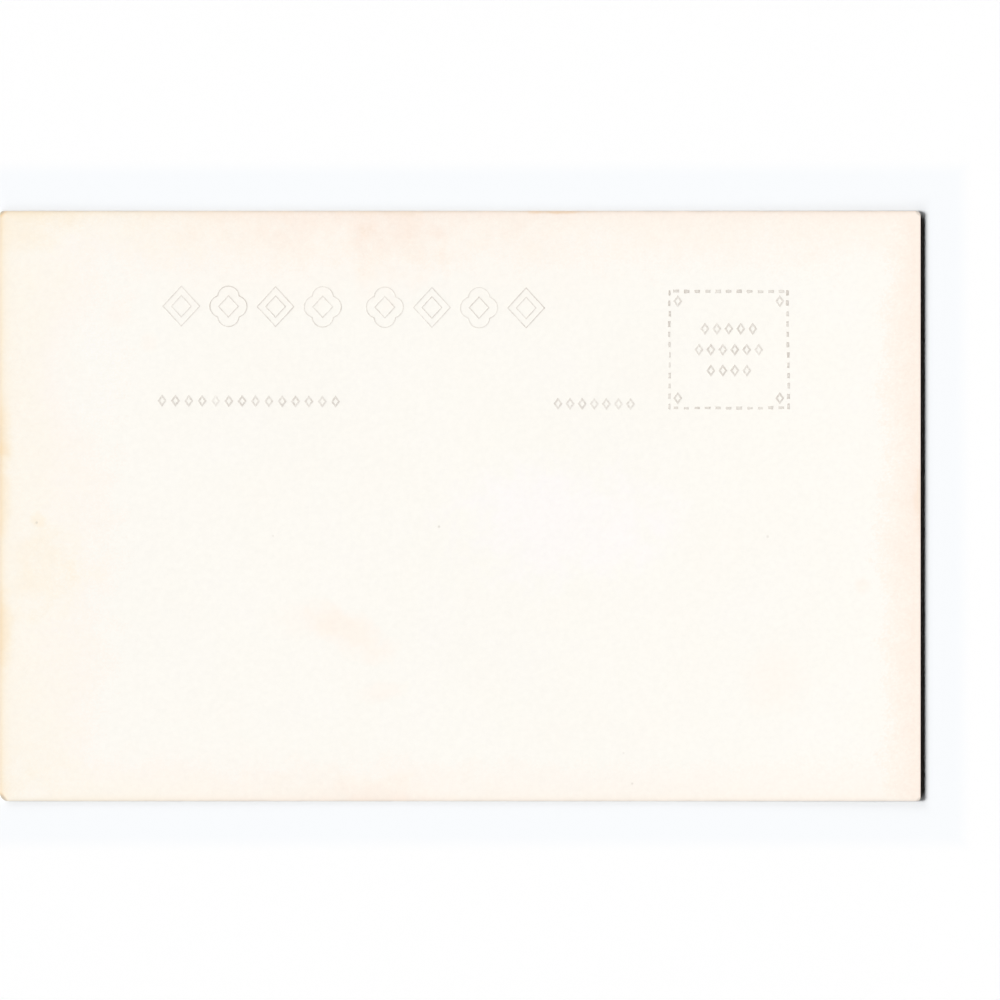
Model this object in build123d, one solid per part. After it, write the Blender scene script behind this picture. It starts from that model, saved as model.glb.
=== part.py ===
from build123d import *
import os

# A photographic postcard that lies on its picture side, with its printed back facing up.
# X runs along the long side, Y towards the upper edge and Z up out of the back.
# The origin is the middle of the picture face, and every length is in millimetres.

# Card blank, trimmed a little short of 5 1/2 by 3 1/2 inches, with four unevenly worn corners
CARD_LENGTH = 138.7
CARD_WIDTH = 88.9
CORNER_TOP_LEFT = 0.55
CORNER_TOP_RIGHT = 0.75
CORNER_BOTTOM_LEFT = 1.3
CORNER_BOTTOM_RIGHT = 0.6

# Layers, named from the picture face up
OVERCOAT_THICKNESS = 0.003
EMULSION_THICKNESS = 0.012
BARYTA_THICKNESS = 0.025
BASE_THICKNESS = 0.28

# Letterpress ink, which lies in the dents of the type a little below the paper's surface
INK_THICKNESS = 0.008
INK_SETBACK = 0.008
TYPE_TILT = 0.3  # degrees clockwise, for each line that is set from a margin

# Heading: two groups of ornaments, each a thin outline with a smaller lozenge a limb further in
HEADING_LEFT_MARGIN = 24.45
HEADING_TOP_MARGIN = 11.2
ORNAMENTS_PER_GROUP = 4
ORNAMENT_WIDTH = 5.75
ORNAMENT_HEIGHT = 6.25
ORNAMENT_GAP = 1.35
GROUP_GAP = 3.6
LIMB_WIDTH = 1.1
LINE_THICKNESS = 0.16
LOBE_RADIUS = 1.7

# Small open lozenges that make up the captions and the lines in the stamp frame
MARK_WIDTH = 1.35
MARK_HEIGHT = 1.85
MARK_STROKE = 0.27

# Captions
MESSAGE_LEFT_MARGIN = 23.75
MESSAGE_TOP_MARGIN = 27.65
MESSAGE_MARKS = 14
MESSAGE_MARK_GAP = 0.66
ADDRESS_STAMP_GAP = 5.0
ADDRESS_TOP_MARGIN = 28.1
ADDRESS_MARKS = 7
ADDRESS_MARK_GAP = 0.47

# Stamp frame of dashed rules: the side rules run its full height, the cross rules fit between them
STAMP_RIGHT_MARGIN = 19.8
STAMP_TOP_MARGIN = 11.9
STAMP_WIDTH = 18.25
STAMP_HEIGHT = 18.0
RULE_THICKNESS = 0.42
RULE_DASH = 0.86
RULE_CORNER_GAP = 0.35
SIDE_RULE_DASHES = 12
CROSS_RULE_DASHES = 11

# Lines and corner marks inside the stamp frame
UPPER_ROW_MARKS = 5
MIDDLE_ROW_MARKS = 6
LOWER_ROW_MARKS = 4
STAMP_ROW_GAP = 1.3
STAMP_MARK_GAP = 0.45
CORNER_MARK_GAP = 0.35

# Places that follow from the sizes above
EMULSION_BOTTOM = OVERCOAT_THICKNESS
BARYTA_BOTTOM = EMULSION_BOTTOM + EMULSION_THICKNESS
BASE_BOTTOM = BARYTA_BOTTOM + BARYTA_THICKNESS
BACK_FACE = BASE_BOTTOM + BASE_THICKNESS
DENT_DEPTH = INK_THICKNESS + INK_SETBACK
ORNAMENT_STEP = ORNAMENT_WIDTH + ORNAMENT_GAP
GROUP_STEP = ORNAMENTS_PER_GROUP * ORNAMENT_STEP - ORNAMENT_GAP + GROUP_GAP
ADDRESS_LENGTH = ADDRESS_MARKS * MARK_WIDTH + (ADDRESS_MARKS - 1) * ADDRESS_MARK_GAP
STAMP_LEFT_MARGIN = CARD_LENGTH - STAMP_RIGHT_MARGIN - STAMP_WIDTH
ADDRESS_LEFT_MARGIN = STAMP_LEFT_MARGIN - ADDRESS_STAMP_GAP - ADDRESS_LENGTH
STAMP_MIDDLE = Pos(
    STAMP_LEFT_MARGIN + STAMP_WIDTH / 2 - CARD_LENGTH / 2,
    CARD_WIDTH / 2 - STAMP_TOP_MARGIN - STAMP_HEIGHT / 2,
)


def card_outline():
    """Rectangle of the card with each corner rounded by its own wear."""
    wear = {
        (-1, 1): CORNER_TOP_LEFT,
        (1, 1): CORNER_TOP_RIGHT,
        (-1, -1): CORNER_BOTTOM_LEFT,
        (1, -1): CORNER_BOTTOM_RIGHT,
    }
    outline = Rectangle(CARD_LENGTH, CARD_WIDTH)
    for (side_x, side_y), radius in wear.items():
        corner = Vector(side_x * CARD_LENGTH / 2, side_y * CARD_WIDTH / 2)
        outline = fillet(outline.vertices().sort_by_distance(corner)[0], radius)
    return outline


def sheet(bottom, thickness):
    """One layer of the card, cut to the card's outline."""
    return Pos(0, 0, bottom) * extrude(card_outline(), thickness)


def lozenge(width, height):
    """Diamond with its points on the axes."""
    return Polygon((width / 2, 0), (0, height / 2), (-width / 2, 0), (0, -height / 2))


def quatrefoil(width, height):
    """Four round lobes that together reach a width and a height."""
    reach_x = width / 2 - LOBE_RADIUS
    reach_y = height / 2 - LOBE_RADIUS
    middles = [(reach_x, 0), (0, reach_y), (-reach_x, 0), (0, -reach_y)]
    return Sketch() + [Pos(x, y) * Circle(LOBE_RADIUS) for x, y in middles]


def edge_line(shape, thickness):
    """Line of one thickness along the inside of a shape's edge."""
    return shape - offset(shape, -thickness)


def ornament(outer_shape):
    """A shape drawn as a thin line along its edge, with the line of a smaller lozenge inside it."""
    inner_shape = offset(lozenge(ORNAMENT_WIDTH, ORNAMENT_HEIGHT), LINE_THICKNESS - LIMB_WIDTH)
    return edge_line(outer_shape, LINE_THICKNESS) + edge_line(inner_shape, LINE_THICKNESS)


def open_mark():
    """The small open lozenge."""
    return edge_line(lozenge(MARK_WIDTH, MARK_HEIGHT), MARK_STROKE)


def line_of_type(marks, step):
    """Marks side by side along X, the first one's middle at the origin."""
    return Sketch() + [Pos(index * step, 0) * mark for index, mark in enumerate(marks)]


def set_from_margins(line, left_margin, top_margin, mark_width, mark_height):
    """Line of type whose first mark has its upper left corner at the margins, tilted as it was set."""
    corner = Pos(left_margin - CARD_LENGTH / 2, CARD_WIDTH / 2 - top_margin)
    return corner * Rot(0, 0, -TYPE_TILT) * Pos(mark_width / 2, -mark_height / 2) * line


def heading():
    """The two groups of ornaments, where lozenges and quatrefoils take turns about the gap."""
    motifs = [
        ornament(lozenge(ORNAMENT_WIDTH, ORNAMENT_HEIGHT)),
        ornament(quatrefoil(ORNAMENT_WIDTH, ORNAMENT_HEIGHT)),
    ]
    left_marks = [motifs[index % 2] for index in range(ORNAMENTS_PER_GROUP)]
    left_group = line_of_type(left_marks, ORNAMENT_STEP)
    right_group = Pos(GROUP_STEP, 0) * line_of_type(left_marks[::-1], ORNAMENT_STEP)
    place = (HEADING_LEFT_MARGIN, HEADING_TOP_MARGIN, ORNAMENT_WIDTH, ORNAMENT_HEIGHT)
    return {
        "heading_left_group": set_from_margins(left_group, *place),
        "heading_right_group": set_from_margins(right_group, *place),
    }


def caption(count, gap, left_margin, top_margin):
    """A small line of open lozenges."""
    line = line_of_type([open_mark()] * count, MARK_WIDTH + gap)
    return set_from_margins(line, left_margin, top_margin, MARK_WIDTH, MARK_HEIGHT)


def captions():
    """The small lines over the message half and the address half."""
    return {
        "message_caption": caption(
            MESSAGE_MARKS, MESSAGE_MARK_GAP, MESSAGE_LEFT_MARGIN, MESSAGE_TOP_MARGIN
        ),
        "address_caption": caption(
            ADDRESS_MARKS, ADDRESS_MARK_GAP, ADDRESS_LEFT_MARGIN, ADDRESS_TOP_MARGIN
        ),
    }


def dashed_rule(length, dashes):
    """Dashes along X about the origin, the outer two ending at the rule's ends."""
    step = (length - RULE_DASH) / (dashes - 1)
    return Sketch() + GridLocations(step, 0, dashes, 1) * Rectangle(RULE_DASH, RULE_THICKNESS)


def stamp_rules():
    """The four dashed rules of the stamp frame."""
    cross_length = STAMP_WIDTH - 2 * (RULE_THICKNESS + RULE_CORNER_GAP)
    cross_rule = dashed_rule(cross_length, CROSS_RULE_DASHES)
    side_rule = Rot(0, 0, 90) * dashed_rule(STAMP_HEIGHT, SIDE_RULE_DASHES)
    side_x = (STAMP_WIDTH - RULE_THICKNESS) / 2
    cross_y = (STAMP_HEIGHT - RULE_THICKNESS) / 2
    return {
        "stamp_rule_top": STAMP_MIDDLE * Pos(0, cross_y) * cross_rule,
        "stamp_rule_bottom": STAMP_MIDDLE * Pos(0, -cross_y) * cross_rule,
        "stamp_rule_left": STAMP_MIDDLE * Pos(-side_x, 0) * side_rule,
        "stamp_rule_right": STAMP_MIDDLE * Pos(side_x, 0) * side_rule,
    }


def stamp_rows():
    """Three centred lines of marks, the middle one through the frame's middle."""
    step = MARK_WIDTH + STAMP_MARK_GAP
    pitch = MARK_HEIGHT + STAMP_ROW_GAP
    places = {
        "stamp_row_upper": (UPPER_ROW_MARKS, pitch),
        "stamp_row_middle": (MIDDLE_ROW_MARKS, 0),
        "stamp_row_lower": (LOWER_ROW_MARKS, -pitch),
    }
    rows = {}
    for name, (count, height) in places.items():
        first_mark = Pos((1 - count) * step / 2, height)
        rows[name] = STAMP_MIDDLE * first_mark * line_of_type([open_mark()] * count, step)
    return rows


def stamp_corner_marks():
    """A mark in each corner of the stamp frame."""
    frame_inset = RULE_THICKNESS + CORNER_MARK_GAP
    across = STAMP_WIDTH - 2 * frame_inset - MARK_WIDTH
    along = STAMP_HEIGHT - 2 * frame_inset - MARK_HEIGHT
    marks = Sketch() + GridLocations(across, along, 2, 2) * open_mark()
    return {"stamp_corner_marks": STAMP_MIDDLE * marks}


def pressed(drawing, depth):
    """Solids of a drawing that rise by a depth from the floor of the type's dents."""
    return Pos(0, 0, BACK_FACE - DENT_DEPTH) * extrude(drawing, depth)


printing = heading() | captions() | stamp_rules() | stamp_rows() | stamp_corner_marks()
nodes = {
    "gelatin_overcoat": sheet(0, OVERCOAT_THICKNESS),
    "emulsion_layer": sheet(EMULSION_BOTTOM, EMULSION_THICKNESS),
    "baryta_coat": sheet(BARYTA_BOTTOM, BARYTA_THICKNESS),
    "paper_base": sheet(BASE_BOTTOM, BASE_THICKNESS)
    - [pressed(drawing, DENT_DEPTH) for drawing in printing.values()],
}
nodes |= {name: pressed(drawing, INK_THICKNESS) for name, drawing in printing.items()}

os.makedirs("parts", exist_ok=True)
for name, solid in nodes.items():
    export_step(solid, f"parts/{name}.step")
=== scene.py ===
# %% [markdown]
# The object is an old photographic postcard that lies on its picture side, so its printed back faces up.
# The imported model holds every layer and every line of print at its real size. It is loaded first and stays
# as it is: +X runs along the card, +Y to the top of the back, +Z up, in metres. Each new piece stands where
# a packed one is, and adds the form and the finish of paper, ink and gelatin.

import bpy
import numpy as np
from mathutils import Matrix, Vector


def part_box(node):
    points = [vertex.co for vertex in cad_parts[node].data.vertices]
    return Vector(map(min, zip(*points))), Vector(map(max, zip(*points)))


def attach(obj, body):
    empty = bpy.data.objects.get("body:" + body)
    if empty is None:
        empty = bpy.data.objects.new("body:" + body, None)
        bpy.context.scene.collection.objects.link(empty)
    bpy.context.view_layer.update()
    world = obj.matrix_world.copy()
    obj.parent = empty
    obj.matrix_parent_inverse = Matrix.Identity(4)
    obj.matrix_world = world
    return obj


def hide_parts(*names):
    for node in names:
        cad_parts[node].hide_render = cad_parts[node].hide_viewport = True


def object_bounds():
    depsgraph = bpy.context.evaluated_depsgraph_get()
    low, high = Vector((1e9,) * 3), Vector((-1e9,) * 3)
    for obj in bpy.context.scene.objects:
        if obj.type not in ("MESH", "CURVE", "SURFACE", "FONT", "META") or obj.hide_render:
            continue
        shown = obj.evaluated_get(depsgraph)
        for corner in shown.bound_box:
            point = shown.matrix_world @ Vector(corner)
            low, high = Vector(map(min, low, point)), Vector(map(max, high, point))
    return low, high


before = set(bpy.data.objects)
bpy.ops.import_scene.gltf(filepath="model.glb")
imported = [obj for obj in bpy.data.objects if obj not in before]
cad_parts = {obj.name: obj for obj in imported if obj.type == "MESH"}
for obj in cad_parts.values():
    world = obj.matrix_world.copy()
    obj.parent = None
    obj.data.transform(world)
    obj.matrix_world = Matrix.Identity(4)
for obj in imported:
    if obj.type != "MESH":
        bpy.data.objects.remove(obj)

MM = 0.001
cad_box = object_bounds()
card_low, card_high = np.array(cad_box)
half_length, half_width, back_face = card_high
print("card", np.round((card_high - card_low) / MM, 3), "mm, nodes:", len(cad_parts))

# %% [markdown]
# The photograph looks straight down on the card, with no tilt to speak of, and the card lies left of the
# middle of the picture. A long lens keeps the view nearly parallel. The four edges of the card, measured in
# the photograph, give the size of a pixel on the card, and from that the camera's place and height follow.

# %% Camera above the card
IMAGE_PIXELS = 1000
PHOTO_LEFT = -0.15
PHOTO_RIGHT = 920.65
PHOTO_TOP = 210.95
PHOTO_BOTTOM = 801.15
LENS = 300
SENSOR = 36

pixel = 2 * half_length / (PHOTO_RIGHT - PHOTO_LEFT)
aim_x = (IMAGE_PIXELS - PHOTO_LEFT - PHOTO_RIGHT) / 2 * pixel
aim_y = (PHOTO_TOP + PHOTO_BOTTOM - IMAGE_PIXELS) / 2 * pixel
camera_height = back_face + IMAGE_PIXELS * pixel * LENS / SENSOR


def add_object(name, data):
    """A new object at the origin of the scene."""
    added = bpy.data.objects.new(name, data)
    bpy.context.scene.collection.objects.link(added)
    return added


camera = add_object("camera", bpy.data.cameras.new("camera"))
camera.data.lens = LENS
camera.data.sensor_width = SENSOR
camera.location = (aim_x, aim_y, camera_height)
bpy.context.scene.camera = camera
bpy.context.scene.view_settings.view_transform = "Standard"
print("a pixel is", round(pixel / MM, 4), "mm, the camera is", round(camera_height / MM, 1), "mm up")

# %% [markdown]
# The only strong shadow in the photograph is a narrow one along the right edge. Along the top and bottom
# there is just a breath of grey, so nearly all the light comes from the left. How high and how wide the lamp
# is sets the width of the shadow and of its soft step. A lamp far away lights the whole card alike, so these
# are Sun lamps with a wide disc, as a large soft box would look from the card. Weaker ones further up and
# down stand for its ends and give the grey, and the last three skim the floor to keep the card's cut edges
# from turning black in other views. The shares of all of them together light a white sheet to white.

# %% Lamps
LIGHT_LEVEL = 0.997
# Turn from the left, elevation and width of the disc in degrees, and share of the light
LAMPS = {
    "key_lamp": (0, 33, 22, 0.717),
    "upper_lamp": (-36, 29, 22, 0.06),
    "lower_lamp": (36, 29, 22, 0.055),
    "upper_wing_lamp": (-54, 19, 22, 0.09),
    "lower_wing_lamp": (54, 18, 22, 0.075),
    "right_skimming_lamp": (180, 0.5, 0.8, 0.0008),
    "front_skimming_lamp": (90, 0.3, 0.5, 0.0012),
    "back_skimming_lamp": (-90, 0.3, 0.5, 0.0012),
}

for name, (turn_from_left, elevation, disc, share) in LAMPS.items():
    around, rise = np.radians([180 + turn_from_left, elevation])
    towards_lamp = Vector((np.cos(rise) * np.cos(around), np.cos(rise) * np.sin(around), np.sin(rise)))
    lamp = add_object(name, bpy.data.lights.new(name, "SUN"))
    lamp.data.angle = np.radians(disc)
    lamp.data.energy = np.pi * LIGHT_LEVEL * share / np.sin(rise)
    lamp.rotation_euler = towards_lamp.to_track_quat("Z", "Y").to_euler()
    print(name, "gives", share, "of the light at a strength of", round(lamp.data.energy, 2))

# %% [markdown]
# Colours are written as they would be read off a screen, from 0 to 255, and turned into the linear values
# that Blender's sockets take. Materials are built from a few short helpers: one adds a node, one sets or
# links an input, one makes a sum. They keep the later cells down to what each finish is about.

# %% Helpers for colours and nodes
def screen_color(red, green, blue):
    """Linear colour of a screen colour: a power of 2.4 above a short straight foot."""
    share = np.array([red, green, blue]) / 255
    linear = np.where(share > 0.04045, ((share + 0.055) / 1.055) ** 2.4, share / 12.92)
    return (*linear.tolist(), 1.0)


def set_input(tree, socket, value):
    """Links a socket to another node's output, or gives it a constant."""
    if isinstance(value, bpy.types.NodeSocket):
        tree.links.new(value, socket)
    else:
        socket.default_value = value


def add_node(tree, kind, inputs, **settings):
    """Adds a node with its settings, and its inputs by name or by number."""
    node = tree.nodes.new(kind)
    for name, value in settings.items():
        setattr(node, name, value)
    for name, value in inputs.items():
        set_input(tree, node.inputs[name], value)
    return node


def calc(tree, operation, *values):
    """Result of one Math node."""
    return add_node(tree, "ShaderNodeMath", dict(enumerate(values)), operation=operation).outputs[0]


def vector_calc(tree, operation, *values):
    """Result of one Vector Math node, which is a value for a dot product or a length."""
    node = add_node(tree, "ShaderNodeVectorMath", dict(enumerate(values)), operation=operation)
    return node.outputs["Value" if operation in ("DOT_PRODUCT", "LENGTH") else "Vector"]


def axes_of(tree, vector):
    """The X, Y and Z of a vector, by name."""
    return add_node(tree, "ShaderNodeSeparateXYZ", {0: vector}).outputs


def fade(tree, value, start, end, low=0.0, high=1.0):
    """Smooth step from low to high as the value goes from start to end."""
    inputs = {"Value": value, "From Min": start, "From Max": end, "To Min": low, "To Max": high}
    return add_node(tree, "ShaderNodeMapRange", inputs, interpolation_type="SMOOTHSTEP").outputs[0]


def blend(tree, factor, first, second, how="MIX"):
    """Colour that goes from the first to the second with the factor."""
    inputs = {0: factor, 6: first, 7: second}
    return add_node(tree, "ShaderNodeMix", inputs, data_type="RGBA", blend_type=how).outputs[2]


def new_material(name):
    """A material with a Principled shader: its tree, that shader and the place on the object."""
    material = bpy.data.materials.new(name)
    material.use_nodes = True
    tree = material.node_tree
    place = tree.nodes.new("ShaderNodeTexCoord").outputs["Object"]
    return material, tree, tree.nodes["Principled BSDF"], place


print("paper white", np.round(screen_color(254, 251, 244), 3))

# %% [markdown]
# The card lies on plain white, a little cooler than the paper and whitest away from the card. The floor is a
# flat sheet just under the card that takes the lamps' light and the card's shadow. The shadow in the
# photograph is nearly black, so neither the floor nor the world throws light back into it: both are white
# where the camera or a reflection meets them, and almost black for light that is scattered on.

# %% Floor and surroundings
FLOOR_HALF = 6.0
FLOOR_GAP = 0.02 * MM
FILL_LIGHT = 0.001
NEAR_WHITE = (250, 252, 254)
FAR_WHITE = (255, 255, 255)
SCATTERED_BLACK = (8, 8, 8)
WHITE_START = 5 * MM
WHITE_END = 8 * MM


def seen_directly(tree):
    """1 for camera, mirror and glass rays, 0 for scattered light."""
    rays = tree.nodes.new("ShaderNodeLightPath").outputs
    seen = calc(tree, "MAXIMUM", rays["Is Camera Ray"], rays["Is Glossy Ray"])
    return calc(tree, "MAXIMUM", seen, rays["Is Transmission Ray"])


floor_material, tree, shader, place = new_material("pale_floor")
tree.nodes.remove(shader)
from_middle = vector_calc(tree, "ABSOLUTE", place)
outside = axes_of(tree, vector_calc(tree, "SUBTRACT", from_middle, (half_length, half_width, 0)))
far_away = fade(tree, calc(tree, "MAXIMUM", outside["X"], outside["Y"]), WHITE_START, WHITE_END)
white = blend(tree, far_away, screen_color(*NEAR_WHITE), screen_color(*FAR_WHITE))
floor_color = blend(tree, seen_directly(tree), screen_color(*SCATTERED_BLACK), white)
matte = add_node(tree, "ShaderNodeBsdfDiffuse", {"Color": floor_color})
set_input(tree, tree.nodes["Material Output"].inputs["Surface"], matte.outputs[0])

floor_corners = FLOOR_HALF * np.array([[-1, -1, 0], [1, -1, 0], [1, 1, 0], [-1, 1, 0]])
floor_corners[:, 2] = card_low[2] - FLOOR_GAP
floor_mesh = bpy.data.meshes.new("floor")
floor_mesh.from_pydata(floor_corners.tolist(), [], [[0, 1, 2, 3]])
floor_mesh.materials.append(floor_material)
floor = add_object("floor", floor_mesh)

world = bpy.data.worlds.new("white_room")
world.use_nodes = True
bpy.context.scene.world = world
tree = world.node_tree
background = tree.nodes["Background"]
set_input(tree, background.inputs["Color"], (1, 1, 1, 1))
set_input(tree, background.inputs["Strength"], calc(tree, "MAXIMUM", seen_directly(tree), FILL_LIGHT))
print("floor", 2 * FLOOR_HALF, "m across, fill light", FILL_LIGHT)

# %% [markdown]
# A sheet of paper is never quite flat. This card lifts a little towards its right end, which makes the
# shadow there, and less towards its left, and the sheet has a faint cockle from old damp. All pieces lie on
# this one height, so layers and print stay together. A modifier could bend each piece, but one formula for
# all of them can't let them drift apart.

# %% Lay of the card
RIGHT_LIFT = 0.24 * MM
LEFT_LIFT = 0.06 * MM
FLAT_SHARE = 0.2
COCKLE = 0.012 * MM
COCKLE_LENGTH = 47 * MM
COCKLE_WIDTH = 61 * MM


def card_lift(x, y):
    """Height of the card's picture face over the floor. Past a flat share of the half length it rises with
    the square of the way to the end, and the cockle is one plus the product of two slow waves."""
    along = x / half_length
    right = RIGHT_LIFT * np.clip((along - FLAT_SHARE) / (1 - FLAT_SHARE), 0, 1) ** 2
    left = LEFT_LIFT * np.clip((-along - FLAT_SHARE) / (1 - FLAT_SHARE), 0, 1) ** 2
    waves = np.sin(2 * np.pi * x / COCKLE_LENGTH) * np.sin(2 * np.pi * y / COCKLE_WIDTH)
    return right + left + COCKLE * (1 + waves)


ends = np.array([-half_length, 0, half_length])
print("lift at left, middle, right:", np.round(card_lift(ends, 0 * ends) / MM, 3), "mm")

# %% [markdown]
# Every piece here is thin and closed, and comes from grids of points. A sheet has a top grid, a bottom grid
# and four walls; a ring of ink is one grid that closes on itself both ways. The helpers below work on whole
# arrays, and on many copies at once: extra axes in front are simply carried along.

# %% Helpers for meshes
def grid_quads(index):
    """One quad for each cell of a grid of vertex numbers, facing the way first axis x second axis points."""
    corners = [index[..., :-1, :-1], index[..., 1:, :-1], index[..., 1:, 1:], index[..., :-1, 1:]]
    return np.stack(corners, axis=-1).reshape(-1, 4)


def sheet_quads(shape):
    """Quads of closed sheets with grids of this shape, as a list: top, bottom, then the walls at -v, +u, +v
    and -u. The bottom grid's numbers follow the top grid's."""
    upper = np.arange(np.prod(shape)).reshape(shape)
    lower = upper + upper.size
    rims = [np.s_[..., :, 0], np.s_[..., -1, :], np.s_[..., ::-1, -1], np.s_[..., 0, ::-1]]
    walls = [np.stack([lower[rim], upper[rim]], axis=-1) for rim in rims]
    return [grid_quads(grid) for grid in (upper, np.swapaxes(lower, -1, -2), *walls)]


def ring_quads(shape):
    """Quads of closed rings: the last two axes of the grid both come back to where they start."""
    index = np.arange(np.prod(shape)).reshape(shape)
    index = np.concatenate([index, index[..., :1, :]], axis=-2)
    index = np.concatenate([index, index[..., :1]], axis=-1)
    return grid_quads(index)


def new_piece(name, points, quads, nodes):
    """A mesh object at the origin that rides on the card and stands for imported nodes."""
    mesh = bpy.data.meshes.new(name)
    mesh.from_pydata(points.reshape(-1, 3).tolist(), [], quads.tolist())
    piece = add_object(name, mesh)
    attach(piece, "root")
    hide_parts(*nodes)
    return piece


print("a closed sheet of 2 x 2 points has", len(np.concatenate(sheet_quads((2, 2)))), "quads")

# %% [markdown]
# The blank is a trimmed rectangle whose four corners have been worn round, each by its own amount. Its
# outline is written as two curves over x: the lower and the upper edge, straight but for an arc at each end.
# Points crowd towards the edges, where the arcs and the soft rim are, by spacing them with a square.

# %% Outline of the card
CORNER_TOP_LEFT = 0.55 * MM
CORNER_TOP_RIGHT = 0.75 * MM
CORNER_BOTTOM_LEFT = 1.3 * MM
CORNER_BOTTOM_RIGHT = 0.6 * MM


def crowded(half, count):
    """Places from -half to half, 2 count + 1 of them. The distance from the nearer end grows with the square
    of the number of steps from that end."""
    steps = np.linspace(-1, 1, 2 * count + 1)
    return half * np.sign(steps) * (1 - (1 - np.abs(steps)) ** 2)


def edge_drop(x, left_radius, right_radius):
    """How far an edge falls back from the rectangle: an arc of each corner's radius, and nothing between."""
    left = np.clip(1 - (x + half_length) / left_radius, 0, 1)
    right = np.clip(1 - (half_length - x) / right_radius, 0, 1)
    return left_radius * (1 - np.sqrt(1 - left**2)) + right_radius * (1 - np.sqrt(1 - right**2))


def card_grid(columns, rows):
    """x and y of a grid over the card, with so many columns and rows on each side of its middle. y runs from
    the lower to the upper edge at each x."""
    x = crowded(half_length, columns)
    share = crowded(1, rows)
    upper = half_width - edge_drop(x, CORNER_TOP_LEFT, CORNER_TOP_RIGHT)
    lower = edge_drop(x, CORNER_BOTTOM_LEFT, CORNER_BOTTOM_RIGHT) - half_width
    y = (upper + lower)[:, None] / 2 + (upper - lower)[:, None] / 2 * share
    return np.broadcast_to(x[:, None], y.shape), y


print("first steps from the edge:", np.round((half_length - crowded(half_length, 80)[-5:]) / MM, 3), "mm")

# %% [markdown]
# The card is a stack of three visible layers. The thick paper base carries the print on its upper side. A
# thin white coat of baryta lies under it, and under that the gelatin with the silver picture. Each is a
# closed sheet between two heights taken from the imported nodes. The paper's upper rim is rounded by handling,
# which a Bevel modifier could do as well, but here it is part of the height formula.

# %% Layers of the card
RIM_RADIUS = 0.03 * MM
FACE_MARGIN = 0.004
SMALL_FACE = 0.5
STRIP_LEFT = 0.52
STRIP_STEP = 0.08
STRIP_HEIGHT = 0.05


def rim_fall(x, y, radius):
    """How far a rounded rim falls below the face: a quarter circle over the last radius before the edge."""
    if radius == 0:
        return np.zeros_like(y)
    gap = np.minimum(half_length - np.abs(x), half_width - np.abs(y))
    return radius * (1 - np.sqrt(1 - np.clip(1 - gap / radius, 0, 1) ** 2))


def lay_bake_map(piece, points, quads, main_face):
    """Flat UV map for baking: the main face fills the upper part, the other face lies below it at half size,
    and the four walls are strips beside that."""
    plan = points[..., :2].reshape(-1, 2)
    flat = (plan + [half_length, half_width]) / (2 * half_length)
    is_upper = np.arange(len(plan)) < len(plan) // 2
    height = half_width / half_length
    scale = 1 - 2 * FACE_MARGIN
    large = flat * scale + [FACE_MARGIN, 1 - FACE_MARGIN - height * scale]
    small = flat * scale * SMALL_FACE + FACE_MARGIN
    maps = [large, small] if main_face == "top" else [small, large]
    for number in range(4):
        length = flat[:, number % 2] * (1 - STRIP_LEFT - FACE_MARGIN) + STRIP_LEFT
        level = FACE_MARGIN + number * STRIP_STEP + STRIP_HEIGHT * is_upper
        maps.append(np.stack([length, level], axis=-1))
    corners = np.concatenate([flat_map[faces] for flat_map, faces in zip(maps, quads)])
    piece.data.uv_layers.new(name="OFBake").data.foreach_set("uv", corners.ravel())


def card_layer(name, nodes, columns, rows, rim_radius=0.0, main_face="top"):
    """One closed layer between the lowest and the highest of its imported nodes, laid on the card's lift.
    Its walls take the second material slot, and its faces are shaded smooth."""
    boxes = [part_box(node) for node in nodes]
    bottom_height = min(low[2] for low, high in boxes)
    top_height = max(high[2] for low, high in boxes)
    x, y = card_grid(columns, rows)
    lift = card_lift(x, y)
    top = np.stack([x, y, lift + top_height - rim_fall(x, y, rim_radius)], axis=-1)
    bottom = np.stack([x, y, lift + bottom_height], axis=-1)
    points = np.stack([top, bottom])
    quads = sheet_quads(x.shape)
    piece = new_piece(name, points, np.concatenate(quads), nodes)
    faces = len(quads[0]) + len(quads[1])
    is_wall = np.arange(len(piece.data.polygons)) >= faces
    piece.data.materials.append(None)
    piece.data.materials.append(None)
    piece.data.polygons.foreach_set("material_index", is_wall.astype(np.int32))
    piece.data.polygons.foreach_set("use_smooth", ~is_wall)
    lay_bake_map(piece, points, quads, main_face)
    return piece


card_stock = card_layer(
    "card_stock", ["paper_base"], columns=80, rows=55, rim_radius=RIM_RADIUS
)
baryta_band = card_layer("baryta_band", ["baryta_coat"], columns=40, rows=28)
picture_nodes = ["emulsion_layer", "gelatin_overcoat"]
picture_face = card_layer(
    "picture_face", picture_nodes, columns=60, rows=42, main_face="bottom"
)
for layer in (card_stock, baryta_band, picture_face):
    print(layer.name, len(layer.data.polygons), "quads")

# %% [markdown]
# The print is letterpress: inked type was pressed into the paper and left thin grey films. The heading is
# two groups of open ornaments, lozenges and quatrefoils by turns, and the small lines are rows of open
# lozenges. Every such mark is a ring between two outlines, one inside the other. A lozenge is a pair of
# triangle waves; a quatrefoil is the farthest of four circles in each direction from its middle.

# %% Outlines of the marks
POINTS_ROUND = 48
turn = np.arange(POINTS_ROUND) / POINTS_ROUND


def lozenge(width, height, inset):
    """Points round a diamond, moved in from its sides. A triangle wave and the same wave a quarter turn later
    run round a diamond; the inset shrinks it by its share of the circle that fits inside."""
    wave = np.abs(4 * turn % 4 - 2) - 1
    inside = width * height / 2 / np.hypot(width, height)
    reach = np.array([width, height]) / 2 * (1 - inset / inside)
    return np.stack([wave, np.roll(wave, POINTS_ROUND // 4)], axis=-1) * reach


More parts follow.
